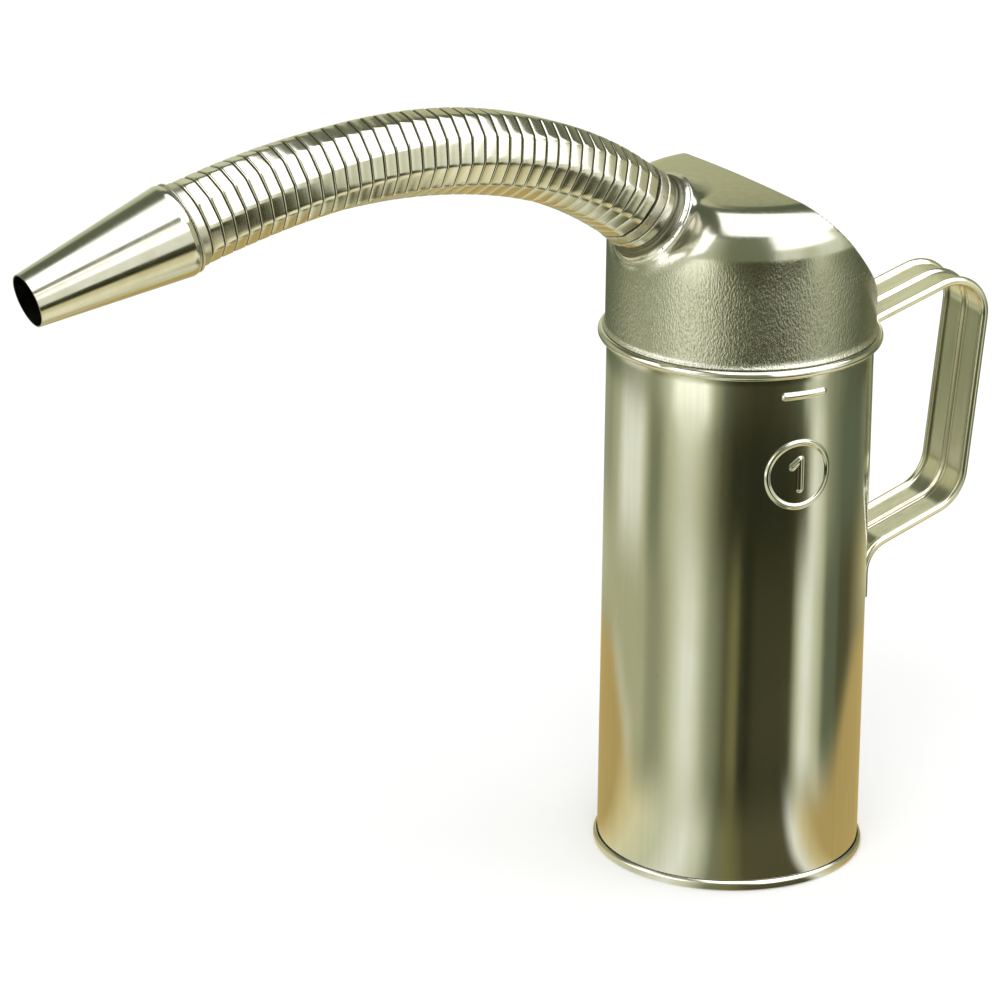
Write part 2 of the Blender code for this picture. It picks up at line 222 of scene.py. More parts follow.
class Board:
    """A node tree and the one way that nodes are added to it."""

    def __init__(self, tree):
        self.tree = tree

    def node(self, kind, settings=None, values=None, output=0):
        added = self.tree.nodes.new("ShaderNode" + kind)
        for name, value in (settings or {}).items():
            if name == "stops":
                elements = added.color_ramp.elements
                while len(elements) < len(value):
                    elements.new(0.5)
                for element, (place, colour) in zip(elements, value):
                    element.position = place
                    element.color = (*colour, 1.0)
            elif name == "interpolation_type" and kind == "ValToRGB":
                added.color_ramp.interpolation = value
            else:
                setattr(added, name, value)
        for name, value in (values or {}).items():
            self.feed(added.inputs[name], value)
        return Wire(self, added.outputs[output])

    def feed(self, socket, value):
        if isinstance(value, Wire):
            self.tree.links.new(value.socket, socket)
        elif socket.type == "RGBA" and len(value) == 3:
            socket.default_value = (*value, 1.0)
        else:
            socket.default_value = value

    def split(self, place):
        """The three numbers of a place or a direction."""
        parts = self.node("SeparateXYZ", None, {0: place}).socket.node
        return [Wire(self, socket) for socket in parts.outputs]

    def mixed(self, factor, first, second):
        """Colour between two colours."""
        return self.node("Mix", {"data_type": "RGBA"}, {0: factor, 6: first, 7: second}, 2)

    def step(self, value, low, high):
        """Smooth step from 0 to 1 between two values."""
        return self.node(
            "MapRange",
            {"interpolation_type": "SMOOTHSTEP"},
            {"Value": value, "From Min": low, "From Max": high},
        )

    def speckle(self, place, scale, detail=2.0, roughness=0.5):
        """Noise at a place whose axes are scaled one by one."""
        spread = self.node("VectorMath", {"operation": "MULTIPLY"}, {0: place, 1: scale})
        return self.node(
            "TexNoise",
            None,
            {"Vector": spread, "Scale": 1.0, "Detail": detail, "Roughness": roughness},
        )


def start_material(name):
    material = bpy.data.materials.new(name)
    material.use_nodes = True
    board = Board(material.node_tree)
    return material, board, material.node_tree.nodes["Principled BSDF"]


def between(board, value, low, high, soft):
    """1 between two values, with soft ends."""
    rise = board.step(value, low - soft, low + soft)
    return rise * (1.0 - board.step(value, high - soft, high + soft))


# Marks on the metal, and the painted shade in the spout's grooves
pit_brown = (0.10, 0.09, 0.06)
band_brown = (0.085, 0.080, 0.035)
# Painted shade: the dark colour given to the groove under the edge of each spout turn
painted_groove_shade = (0.085, 0.076, 0.042)
speck_brown = (0.16, 0.14, 0.09)
streak_shade = 0.78
scuff_scale = (900.0, 900.0, 900.0)
scuff_depth = 0.15
dent_scale = (110.0, 110.0, 60.0)
pit_scale = (750.0, 750.0, 750.0)
speck_scale = (420.0, 420.0, 420.0)
band_fade = 0.0003
# How softly the painted shade in the spout's grooves fades in
groove_fade = 0.0015

# The crackled skin on the hood's skirt, which ends at a height
skin_scale = (1800.0, 1800.0, 800.0)
skin_depth = 0.00021
skin_top = 0.2235
skin_fade = 0.020

# Finishes of the metals; streaks and patches are the scales of the noise that draws them
finishes = {
    "body tinplate": dict(
        roughness=0.11, streaks=(330.0, 330.0, 9.0), streak_depth=0.000004, patch_share=0.25, dents=0.00002
    ),
    "base tinplate": dict(roughness=0.20, streaks=(160.0, 160.0, 900.0), streak_depth=0.000003),
    "rim wire steel": dict(roughness=0.45, streaks=(300.0, 300.0, 300.0), streak_depth=0.00001),
    "hood satin tinplate": dict(
        roughness=0.17, streaks=(420.0, 420.0, 22.0), streak_depth=0.000005, patches=60.0, patch_share=0.3,
        dents=0.00002, crackled=True,
    ),
    "joint solder": dict(roughness=0.40, streaks=(260.0, 260.0, 260.0), streak_depth=0.00003),
    "neck tinplate": dict(
        roughness=0.16, streaks=(300.0, 300.0, 300.0), streak_depth=0.000012, patches=150.0, pits=0.02
    ),
    "neck solder": dict(
        roughness=0.20, streaks=(500.0, 500.0, 500.0), streak_depth=0.00003, patches=220.0, pits=0.02
    ),
    "sleeve tinplate": dict(
        roughness=0.36, streaks=(700.0, 700.0, 700.0), streak_depth=0.00003, patches=260.0, pits=0.03
    ),
    "spout strip": dict(roughness=0.16, streaks=(9.0, 120.0, 1.0), streak_depth=0.000005, patches=120.0),
    "nozzle tinplate": dict(
        roughness=0.12, streaks=(60.0, 60.0, 60.0), streak_depth=0.000002, patches=70.0, dents=0.00002
    ),
    "end sleeve tinplate": dict(
        roughness=0.25, streaks=(400.0, 400.0, 400.0), streak_depth=0.000006, patches=200.0
    ),
    "nozzle solder": dict(
        roughness=0.35, streaks=(600.0, 600.0, 600.0), streak_depth=0.00003, patches=240.0
    ),
    "handle tinplate": dict(
        roughness=0.18, streaks=(60.0, 700.0, 60.0), streak_depth=0.000003, patches=70.0
    ),
}


def metal(name, colour, stain, groove=None, band=None):
    """Tinplate or solder: drawn streaks, a warm film in patches, fine scuffs and specks.

    groove is the height in the piece's UV map past which the groove is given painted shade, darker and
    rougher;
    band is a turned frame with the heights in it between which the metal is a darker brown and rougher.
    """
    finish = finishes[name]
    roughness = finish["roughness"]
    patches = finish.get("patches", 45.0)
    material, board, shader = start_material(name)
    solid = board.node("TexCoord", None, None, "Object")
    strip = board.node("TexCoord", None, None, "UV") if groove else solid
    film = board.speckle(solid, (patches, patches, patches * 0.6), 4.0, 0.6)
    film = board.step(film, 0.36, 0.70) * finish.get("patch_share", 0.5)
    streak = board.speckle(strip, finish["streaks"], 3.0, 0.6)
    scuff = board.speckle(solid, scuff_scale, 2.0)
    tone = board.mixed(film.clamped(), colour, stain)
    dull = board.step(streak, 0.30, 0.75) * 0.35
    darker = tuple(share * streak_shade for share in colour)
    tone = board.mixed((dull * 0.6).clamped(), tone, darker)
    rough = roughness + (streak - 0.5) * roughness * 0.9 + film * 0.10 + (scuff - 0.5) * 0.05
    height = streak * finish["streak_depth"] + scuff * (finish["streak_depth"] * scuff_depth)
    if "dents" in finish:
        height = height + board.speckle(solid, dent_scale, 1.0) * finish["dents"]
    if "crackled" in finish:
        share = 1.0 - board.step(board.split(solid)[2], skin_top - skin_fade, skin_top)
        skin = board.speckle(solid, skin_scale, 2.0, 0.55)
        height = height + skin * share * skin_depth
        rough = rough + share * 0.05
        tone = board.mixed((share * board.step(skin, 0.42, 0.72) * 0.30).clamped(), tone, darker)
    if "pits" in finish:
        pits = finish["pits"]
        spot = board.step(board.speckle(solid, pit_scale, 3.0, 0.7), 0.62 - pits, 0.70 - pits)
        tone = board.mixed((spot * 0.7).clamped(), tone, pit_brown)
        rough = rough + spot * 0.30
    # A darker brown, rougher band over the top of the neck's bead and the recess above it
    if band:
        frame_of_band, low, high = band
        axis = frame_of_band.to_3x3() @ Vector((0, 0, 1))
        reach = board.node("VectorMath", {"operation": "DOT_PRODUCT"}, {0: solid, 1: axis}, 1)
        reach = reach - frame_of_band.translation.dot(axis)
        brown = between(board, reach, low, high, band_fade) * 0.85
        tone = board.mixed(brown, tone, band_brown)
        rough = rough + brown * 0.30
    # Painted shade in the groove under the next turn's edge: darker and rougher past the groove's height
    if groove:
        groove_shading = board.step(board.split(strip)[1], groove - groove_fade, groove + groove_fade)
        tone = board.mixed(groove_shading, tone, painted_groove_shade)
        rough = rough + groove_shading * 0.45
    speck = board.step(board.speckle(solid, speck_scale, 1.0), 0.80, 0.86)
    tone = board.mixed(speck * 0.5, tone, speck_brown)
    board.feed(shader.inputs["Base Color"], tone)
    board.feed(shader.inputs["Roughness"], rough.clamped())
    shader.inputs["Metallic"].default_value = 1.0
    bump = board.node("Bump", None, {"Height": height, "Strength": 1.0, "Distance": 1.0})
    board.feed(shader.inputs["Normal"], bump)
    return material


# Mesh tools
def arc(centre, radius, start, end, steps):
    """Points along an arc, both ends included."""
    angles = [start + (end - start) * step / steps for step in range(steps + 1)]
    return [
        (centre[0] + radius * math.cos(angle), centre[1] + radius * math.sin(angle))
        for angle in angles
    ]


def eased(outline, cut, steps=3, closed=True):
    """The outline with each corner rounded off, at most at the cut's length from it."""
    count = len(outline)
    result = []
    for index in range(count):
        if not closed and index in (0, count - 1):
            result.append(outline[index])
            continue
        corner = Vector(outline[index])
        before = Vector(outline[index - 1]) - corner
        after = Vector(outline[(index + 1) % count]) - corner
        if min(before.length, after.length) < 1e-7 or before.angle(after) > math.radians(165):
            result.append(tuple(corner))
            continue
        first = corner + before * min(cut / before.length, 0.45)
        last = corner + after * min(cut / after.length, 0.45)
        for step in range(steps + 1):
            share = step / steps
            point = first * (1 - share) ** 2 + corner * 2 * share * (1 - share) + last * share**2
            result.append(tuple(point))
    return result


def turned(outline, sides, closed=True, angle=full_turn, phase=0.0, builder=None):
    """Turn an outline of (radius, height) points round the Z axis."""
    builder = builder or bmesh.new()
    start = Matrix.Rotation(phase, 3, "Z")
    points = [builder.verts.new(start @ Vector((radius, 0, height))) for radius, height in outline]
    edges = [builder.edges.new(pair) for pair in zip(points, points[1:])]
    if closed:
        edges.append(builder.edges.new((points[-1], points[0])))
    whole = abs(angle - full_turn) < 1e-9
    bmesh.ops.spin(
        builder,
        geom=points + edges,
        cent=(0, 0, 0),
        axis=(0, 0, 1),
        angle=angle,
        steps=sides,
        use_merge=whole,
    )
    bmesh.ops.remove_doubles(builder, verts=builder.verts, dist=1e-7)
    bmesh.ops.dissolve_degenerate(builder, dist=1e-7, edges=builder.edges)
    return builder


def widened(point, share):
    """Scale a point's distance from the Z axis."""
    point.co.x *= share
    point.co.y *= share


def finish_piece(name, builder, material, body, nodes, matrix=None, sharp=35.0, outward=True):
    """Turn a bmesh into a piece that rides on a body and stands for its nodes."""
    if outward:
        bmesh.ops.recalc_face_normals(builder, faces=builder.faces)
    if matrix is not None:
        bmesh.ops.transform(builder, matrix=matrix, verts=builder.verts)
    mesh = bpy.data.meshes.new(name)
    builder.to_mesh(mesh)
    builder.free()
    mesh.shade_smooth()
    mesh.set_sharp_from_angle(angle=math.radians(sharp))
    mesh.materials.append(material)
    piece = bpy.data.objects.new(name, mesh)
    bpy.context.scene.collection.objects.link(piece)
    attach(piece, body)
    if nodes:
        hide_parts(*nodes)
    return piece


def dress_node(name, material):
    """Give a kept node a finished material."""
    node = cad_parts[name]
    for slot in node.material_slots:
        slot.link = "OBJECT"
        slot.material = material


def smooth(value):
    value = min(max(value, 0.0), 1.0)
    return value * value * (3 - 2 * value)


# Places along the spout
def bend_angle(distance):
    """Slope of the spout's axis above the horizontal, at a distance along it."""
    length = turn_count * turn_pitch
    start_curve = 1 / spout_start_bend
    end_curve = 1 / spout_end_bend
    turned_by = start_curve * distance + (end_curve - start_curve) * distance**2 / (2 * length)
    return spout_start_angle - turned_by


def spout_frame(place, slope):
    """Matrix with local Z along the spout's axis and local X toward -Y."""
    along = Vector((-math.cos(slope), 0, math.sin(slope)))
    across = Vector((0, -1, 0))
    up = along.cross(across)
    turn = Matrix((across, up, along)).transposed()
    return Matrix.Translation(place) @ turn.to_4x4()


def spout_places(sizes):
    """Hinge point and slope of each turn, and of the nozzle after the last."""
    hood_radius = sizes.body_radius + hood_overhang
    roof_height = sizes.rim_height + sizes.hood_height
    place = Vector((spout_start_inset - hood_radius, 0, roof_height + spout_start_rise))
    places = []
    for number in range(turn_count):
        slope = bend_angle((number + 1 / 2) * turn_pitch)
        places.append((place.copy(), slope))
        place = place + turn_pitch * Vector((-math.cos(slope), 0, math.sin(slope)))
    places.append((place, bend_angle(turn_count * turn_pitch)))
    return places


def neck_matrix(sizes):
    return spout_frame(spout_places(sizes)[0][0], neck_slope)


# The raised fill mark
mark_turn = math.radians(-90 - 5.1)
mark_reach = 0.014
mark_ring_height = 0.1449
mark_ring_radius = 0.0109
mark_ridge_width = 0.0021
mark_ridge_height = 0.00055
bar_start = -0.0056
bar_end = 0.0084
bar_width = 0.0027
bar_rise = 0.0008
numeral_strokes = (((0.0004, -0.0050), (0.0004, 0.0050)), ((0.0004, 0.0050), (-0.0024, 0.0028)))
numeral_width = 0.0026

# Rows and columns of the body's wall, close together round the mark
low_wall_heights = [0.0035, 0.010, 0.030, 0.055, 0.080, 0.105, 0.125]
high_wall_heights = [0.1600, 0.1650]
mark_row = 0.00022
ring_rows = 118
ring_rows_below = 0.0128
bar_rows = 31
bar_rows_below = 0.0033
mark_arc = math.radians(42)
mark_columns = 140
plain_columns = 106


def ridge(distance, width, height):
    """Height of a rounded ridge at a distance from its middle line."""
    return height * smooth(1.25 - 1.25 * abs(distance) / (width / 2))


def from_segment(point, start, end):
    point, start, end = Vector(point), Vector(start), Vector(end)
    run = end - start
    share = min(max((point - start).dot(run) / run.length_squared, 0.0), 1.0)
    return (point - start - run * share).length


def mark_rise(sizes, angle, height):
    """How far the wall is pressed outward at an angle and a height."""
    across = math.remainder(angle - mark_turn, full_turn) * sizes.body_radius
    if abs(across) > mark_reach or height < mark_ring_height - mark_reach:
        return 0.0
    low = height - mark_ring_height
    rise = ridge(math.hypot(across, low) - mark_ring_radius, mark_ridge_width, mark_ridge_height)
    for start, end in numeral_strokes:
        away = from_segment((across, low), start, end)
        rise = max(rise, ridge(away, numeral_width, mark_ridge_height))
    away = from_segment((across, height - sizes.mark_height), (bar_start, 0), (bar_end, 0))
    return max(rise, ridge(away, bar_width, bar_rise))


def bead_centre(sizes):
    return (sizes.body_radius - sizes.sheet + sizes.bead_radius, sizes.rim_height)


class JUG_OT_body(bpy.types.Operator):
    """Rolled body with its curled rim, bottom flange and raised fill mark"""

    bl_idname = "jug.body"
    bl_label = "Body"

    def execute(self, context):
        sizes, colours = settings(context)
        wall = sizes.body_radius
        flange = wall + seam_overhang - sizes.sheet - clearance
        foot = sizes.sheet + clearance
        centre = bead_centre(sizes)
        heights = [foot + sizes.sheet, *low_wall_heights]
        heights += [mark_ring_height - ring_rows_below + step * mark_row for step in range(ring_rows)]
        heights += high_wall_heights
        heights += [sizes.mark_height - bar_rows_below + step * mark_row for step in range(bar_rows)]
        outer = [(wall, height) for height in heights]
        inner = [(wall - sizes.sheet, height) for height in reversed(heights[1:])]
        outline = [(wall - sizes.sheet, foot), (flange, foot), (flange, foot + sizes.sheet)]
        outline += outer
        outline += arc(centre, sizes.bead_radius - sizes.sheet, curl_start, curl_end, 20)
        outline += arc(centre, sizes.bead_radius, curl_end, curl_start, 24)
        outline += inner
        builder = turned(outline, mark_columns, phase=mark_turn - mark_arc / 2, angle=mark_arc)
        rest = full_turn - mark_arc
        turned(outline, plain_columns, phase=mark_turn + mark_arc / 2, angle=rest, builder=builder)
        bmesh.ops.remove_doubles(builder, verts=builder.verts, dist=1e-6)
        for point in builder.verts:
            rise = mark_rise(sizes, math.atan2(point.co.y, point.co.x), point.co.z)
            if rise:
                widened(point, 1 + rise / wall)
        material = metal("body tinplate", colours.tin, colours.tin_stain)
        finish_piece("body", builder, material, "jug", ["body_shell"])
        return {"FINISHED"}


class JUG_OT_base(bpy.types.Operator):
    """Base seamed over the body's flange, and the wire inside the rim"""

    bl_idname = "jug.base"
    bl_label = "Base and rim wire"

    def execute(self, context):
        sizes, colours = settings(context)
        outer = sizes.body_radius + seam_overhang
        outline = [
            (0, 0),
            (outer - seam_corner, 0),
            (outer, seam_corner),
            (outer, seam_height - seam_corner),
            (outer - seam_corner, seam_height),
            (sizes.body_radius + clearance, seam_height),
            (sizes.body_radius + clearance, seam_height - sizes.sheet),
            (outer - sizes.sheet, seam_height - sizes.sheet),
            (outer - sizes.sheet, sizes.sheet),
            (0, sizes.sheet),
        ]
        builder = turned(eased(outline, 0.0004, 4, closed=False), 160, closed=False)
        material = metal("base tinplate", colours.tin, colours.tin_stain)
        finish_piece("base", builder, material, "jug", ["base_panel"])
        dress_node("rim_wire", metal("rim wire steel", colours.wire_steel, colours.tin_stain))
        return {"FINISHED"}


# The hood's shape: how softly its flat, its seat and its skin run into each other, and the part of
# it that is pressed
flat_blend = 0.0030
seat_blend = 0.0016
press_blend = 0.0026
press_reach = 0.034
press_drop = 0.045
press_centre = 0.020
press_range = (0.004, 0.060)
press_steps = 26


def softer_less(first, second, reach):
    """Smooth minimum of two distances."""
    share = max(reach - abs(first - second), 0.0) / reach
    return min(first, second) - share * share * reach / 4


def softer_more(first, second, reach):
    """Smooth maximum of two distances."""
    return -softer_less(-first, -second, reach)


def crown_slope(hood_radius):
    """Slope at the edge of the hood's crown, where its shoulder takes over."""
    slope = 0.0
    for _ in range(8):
        slope = math.atan(2 * roof_rise / (hood_radius - shoulder_radius * (1 - math.sin(slope))))
    return slope


def hood_depth(sizes, point, into_neck):
    """Distance outside the hood's skin, with the flat and the seat under the neck."""
    hood_radius = sizes.body_radius + hood_overhang
    roof_height = sizes.rim_height + sizes.hood_height
    across = math.hypot(point.x, point.y)
    slope = crown_slope(hood_radius)
    crown = hood_radius - shoulder_radius * (1 - math.sin(slope))
    centre = (hood_radius - shoulder_radius, roof_height - shoulder_radius * math.cos(slope))
    if across < crown:
        cup = max(point.z - roof_height - roof_rise * (1 - (across / crown) ** 2), across - hood_radius)
    elif point.z > centre[1]:
        cup = math.hypot(across - centre[0], point.z - centre[1]) - shoulder_radius
    else:
        cup = across - hood_radius
    local = into_neck @ point
    height = local.z + pad_depth
    away = math.hypot(local.x, local.y)
    flat = softer_more(cup, height, flat_blend)
    wall = (away - boss_radius - (boss_rise - height) * math.tan(boss_flare)) * math.cos(boss_flare)
    seat = softer_more(height - boss_rise, wall, seat_blend)
    return softer_less(flat, seat, press_blend)


def pressed(sizes, builder, into_neck):
    """Move the points near the neck onto the hood's pressed skin."""
    centre = into_neck.inverted() @ Vector((0, 0, -pad_depth - press_centre))
    for point in builder.verts:
        local = into_neck @ point.co
        if math.hypot(local.x, local.y) > press_reach or local.z < -press_drop:
            continue
        heading = (point.co - centre).normalized()
        low, high = press_range
        for _ in range(press_steps):
            middle = (low + high) / 2
            if hood_depth(sizes, centre + heading * middle, into_neck) > 0:
                high = middle
            else:
                low = middle
        point.co = centre + heading * low


class JUG_OT_hood(bpy.types.Operator):
    """Drawn hood, cut away on a slant at the rear and pressed flat under the neck"""

    bl_idname = "jug.hood"
    bl_label = "Hood"

    def execute(self, context):
        sizes, colours = settings(context)
        hood_radius = sizes.body_radius + hood_overhang
        roof_height = sizes.rim_height + sizes.hood_height
        foot = sizes.rim_height + sizes.bead_radius + clearance
        slope = crown_slope(hood_radius)
        crown = hood_radius - shoulder_radius * (1 - math.sin(slope))
        corner = (hood_radius - shoulder_radius, roof_height - shoulder_radius * math.cos(slope))
        outline = [
            (hood_radius + flare_out, foot),
            (hood_radius + flare_out * 0.75, foot + flare_height * 0.3),
            (hood_radius + flare_out * 0.30, foot + flare_height * 0.7),
            (hood_radius + flare_out * 0.06, foot + flare_height * 1.2),
            (hood_radius, foot + flare_height * 1.8),
        ]
        skirt_steps = 30
        skirt_top = corner[1]
        start = outline[-1][1]
        outline += [
            (hood_radius, start + (skirt_top - start) * step / skirt_steps)
            for step in range(1, skirt_steps)
        ]
        outline += arc(corner, shoulder_radius, 0, math.pi / 2 - slope, 30)
        roof_steps = 36
        for step in range(1, roof_steps + 1):
            across = crown * (1 - step / roof_steps)
            outline.append((across, roof_height + roof_rise * (1 - (across / crown) ** 2)))
        builder = turned(outline, 288, closed=False)
        into_neck = neck_matrix(sizes).inverted()
        pressed(sizes, builder, into_neck)
        cut_foot_x = hood_radius + cut_foot_reach
        drop = roof_height - sizes.rim_height - cut_foot_rise
        turn = Matrix.Rotation(cut_turn, 3, "Z")
        bmesh.ops.bisect_plane(
            builder,
            geom=builder.verts[:] + builder.edges[:] + builder.faces[:],
            plane_co=turn @ Vector((cut_top_x, 0, roof_height)),
            plane_no=turn @ Vector((drop, 0, cut_foot_x - cut_top_x)).normalized(),
            clear_outer=True,
            dist=1e-6,
        )
        bore = neck_radius + 2 * clearance
        under_neck = []
        for face in builder.faces:
            local = into_neck @ face.calc_center_median()
            if math.hypot(local.x, local.y) < bore and local.z > -pad_depth - 0.004:
                under_neck.append(face)
        bmesh.ops.delete(builder, geom=under_neck, context="FACES")
        bmesh.ops.recalc_face_normals(builder, faces=builder.faces)
        material = metal("hood satin tinplate", colours.satin, colours.tin_stain)
        piece = finish_piece("hood_skin", builder, material, "jug", ["hood"], outward=False)
        wall = piece.modifiers.new("wall", "SOLIDIFY")
        wall.thickness = sizes.sheet
        wall.offset = -1.0
        wall.use_even_offset = True
        dress_node("hood_solder", metal("joint solder", colours.solder, colours.tin_stain))
        return {"FINISHED"}


# Section of the solder round the neck's bead, as (outward, upward) from the bead's edge
neck_fillet_section = (
    (-0.0008, 0.00005),
    (0.0015, -0.00025),
    (0.0012, 0.00010),
    (0.0006, 0.00040),
    (0.0001, 0.00090),
    (-0.0002, 0.00150),
    (-0.0003, 0.0010),
)

# Heights on the neck, over the top of its bead and the recess above it, between which it is a darker brown
# and rougher
brown_band = (-0.0101, -0.0077)


def sleeve_end():
    """Distance from the start of the spout back to the rear edge of its first sleeve."""
    return turn_gap / 2 + start_sleeve_length


def neck_profile(inset):
    """One face of the neck's sheet, from inside the hood to the end of its spigot."""
    seat = -pad_depth + boss_rise + clearance
    bead = (neck_bead_reach - neck_bead_radius, seat + neck_bead_radius)
    shoulder = -sleeve_end() - clearance - sleeve_solder_width
    points = [(neck_radius - inset, seat - boss_rise - clearance - neck_foot_depth)]
    points.append((neck_radius - inset, seat + inset))
    points += arc(bead, neck_bead_radius - inset, -math.pi / 2, math.pi / 2, 14)
    points += [
        (neck_radius - inset, seat + 2 * neck_bead_radius - inset + neck_sheet),
        (neck_radius - inset, shoulder - inset),
        (spigot_radius - inset, shoulder - inset),
        (spigot_radius - inset, shoulder + spigot_length),
    ]
    return points


def flat_radius(corner_radius):
    """Distance from the axis to the middle of a side of the faceted spout."""
    return corner_radius * math.cos(math.pi / turn_sides)


def lumpy(builder, depth, size, seed):
    """Push the points in and out of the axis's reach as hand-run solder does."""
    shift = Vector((seed, seed * 2.7, seed * 5.1))
    for point in builder.verts:
        away = Vector((point.co.x, point.co.y, 0))
        if away.length < neck_radius + 0.0001:
            continue
        lump = noise.noise(point.co / size + shift) + 0.5 * noise.noise(point.co * 2.3 / size + shift)
        point.co += away.normalized() * lump * depth
        point.co.z += noise.noise(point.co / size - shift) * depth * 0.6


class JUG_OT_neck(bpy.types.Operator):
    """Beaded neck with its solder and the sleeve that starts the spout"""

    bl_idname = "jug.neck"
    bl_label = "Neck"

    def execute(self, context):
        sizes, colours = settings(context)
        matrix = neck_matrix(sizes)
        tin = metal("neck tinplate", colours.tin, colours.tin_stain, band=(matrix, *brown_band))
        solder = metal("neck solder", colours.solder, colours.tin_stain)
        matt = metal("sleeve tinplate", colours.dull_tin, colours.tin_stain)
        outline = eased(neck_profile(0) + neck_profile(neck_sheet)[::-1], 0.0003, 3)
        builder = turned(outline, 144)
        lumpy(builder, 0.00012, 0.0050, 3.0)
        finish_piece("neck", builder, tin, "jug", ["spout_neck"], matrix)
        seat = -pad_depth + boss_rise + clearance
        inner = neck_bead_reach + clearance
        outline = [(inner + outward, seat + upward) for outward, upward in neck_fillet_section]
        builder = turned(eased(outline, 0.0003, 3), 180)
        lumpy(builder, 0.00012, 0.0042, 7.0)
        finish_piece("neck_fillet", builder, solder, "jug", ["neck_solder"], matrix)
        start = -sleeve_end() - clearance
        end = start - sleeve_solder_width
        outline = [
            (spigot_radius + clearance, end),
            (neck_radius, end),
            (sleeve_solder_radius, (start + end) / 2),
            (sleeve_radius, start),
            (spigot_radius + clearance, start),
        ]
        builder = turned(eased(outline, 0.0005, 4), 144)
        lumpy(builder, 0.00014, 0.0030, 11.0)
        finish_piece("sleeve_fillet", builder, matt, "jug", ["sleeve_solder"], matrix)
        end = -turn_gap / 2
        lip_radius = flat_radius(sizes.turn_radius - sizes.sheet - strip_play - lip_depth) - strip_play
        hook_radius = flat_radius(sizes.turn_radius - sizes.sheet) - strip_play
        lip_end = turn_gap / 2 + 2 * sizes.sheet + lip_play
        outline = [
            (sleeve_radius, end - start_sleeve_length),
            (sleeve_radius, end),
            (lip_radius, end),
            (lip_radius, lip_end - sizes.sheet),
            (hook_radius, lip_end),
            (lip_radius - sizes.sheet, lip_end),
            (lip_radius - sizes.sheet, end - sizes.sheet),
            (spigot_radius + clearance, end - sizes.sheet),
            (spigot_radius + clearance, end - start_sleeve_length),
        ]
        builder = turned(eased(outline, 0.0002, 3), 144)
        finish_piece("first_sleeve", builder, matt, "jug", ["hose_start_sleeve"], matrix)
        return {"FINISHED"}


# One turn of the wound strip
band_start = 0.00025
band_flat_end = 0.00365
band_fall = 0.00050
lip_start = 0.00432
lip_end = 0.00595
strip_uv_scale = 20
strip_uv_lead = 0.37
# Height on a turn past which its groove is given painted shade
groove_start = 0.00412


def facet_share(angle):
    """Radius at an angle as a share of the corner radius, for a softly cornered polygon."""
    part = full_turn / turn_sides
    off = math.remainder(angle, part)
    flat = math.cos(part / 2) / math.cos(part / 2 - abs(off))
    crown = 0.0035 * math.cos(math.pi * (1 - 2 * abs(off) / part) / 2) ** 2
    return softer_less(flat + crown, 0.9905, 0.016)


def strip_outline(sizes):
    radius = sizes.turn_radius
    sheet = sizes.sheet
    fall = [
        (radius, band_flat_end),
        (radius - 0.00006, band_flat_end + 0.00020),
        (radius - 0.00020, band_flat_end + 0.00042),
        (radius - 0.00038, band_flat_end + 0.00058),
        (radius - band_fall, lip_start),
    ]
    outer = [
        (radius - 0.00012, band_start),
        (radius - 0.00002, band_start + 0.00010),
        (radius, band_start + 0.00030),
        (radius, (band_start + band_flat_end) / 2),
    ]
    lip = [(radius - band_fall, lip_end), (radius - band_fall - sheet, lip_end)]
    inner = [
        (radius - band_fall - sheet, lip_start - 0.0002),
        (radius - 0.00055, band_flat_end),
        (radius - sheet, band_flat_end - 0.0004),
        (radius - sheet, band_start),
    ]
    return outer + fall + lip + inner


def unwrapped(builder, lead=0.0):
    """Give each corner its turn round the axis and its height as a UV place."""
    layer = builder.loops.layers.uv.new("strip")
    for face in builder.faces:
        middle = face.calc_center_median()
        centre_angle = math.atan2(middle.y, middle.x)
        for loop in face.loops:
            angle = math.atan2(loop.vert.co.y, loop.vert.co.x)
            angle = centre_angle + math.remainder(angle - centre_angle, full_turn)
            loop[layer].uv = (angle / full_turn + 0.5 + lead, loop.vert.co.z * strip_uv_scale)


class JUG_OT_spout(bpy.types.Operator):
    """Turns of the wound spout, each folded over the lip of the turn before it"""

    bl_idname = "jug.spout"
    bl_label = "Wound spout"

    def execute(self, context):
        sizes, colours = settings(context)
        # The strip's material paints shade into the groove under each turn's edge
        groove = groove_start * strip_uv_scale
        material = metal("spout strip", colours.strip, colours.tin_stain, groove=groove)
        for number, (place, slope) in enumerate(spout_places(sizes)[:turn_count]):
            builder = turned(strip_outline(sizes), 8 * turn_sides)
            for point in builder.verts:
                widened(point, facet_share(math.atan2(point.co.y, point.co.x)))
            unwrapped(builder, strip_uv_lead * number)
            twist = Matrix.Rotation(first_corner - number * turn_twist, 4, "Z")
            matrix = spout_frame(place, slope) @ twist
            label = f"{number + 1:02d}"
            name, body, node = f"strip_turn_{label}", f"turn_{label}", f"hose_turn_{label}"
            finish_piece(name, builder, material, body, [node], matrix)
        return {"FINISHED"}


# Nozzle
lap_turn = math.radians(28)
lap_width = math.radians(34)
lap_groove = math.radians(1.0)
cone_rows = 40


def lap_rise(sizes, angle):
    """Extra radius where the cone's sheet laps over itself, ending in a step at the seam."""
    past = math.remainder(lap_turn - angle, full_turn)
    if past < -lap_groove / 2:
        return -sizes.sheet * 0.2 if past > -lap_groove * 1.2 else 0.0
    if past > lap_width * 1.7:
        return 0.0
    return sizes.sheet * 0.7 * (1 - smooth((past - lap_width * 0.7) / lap_width))


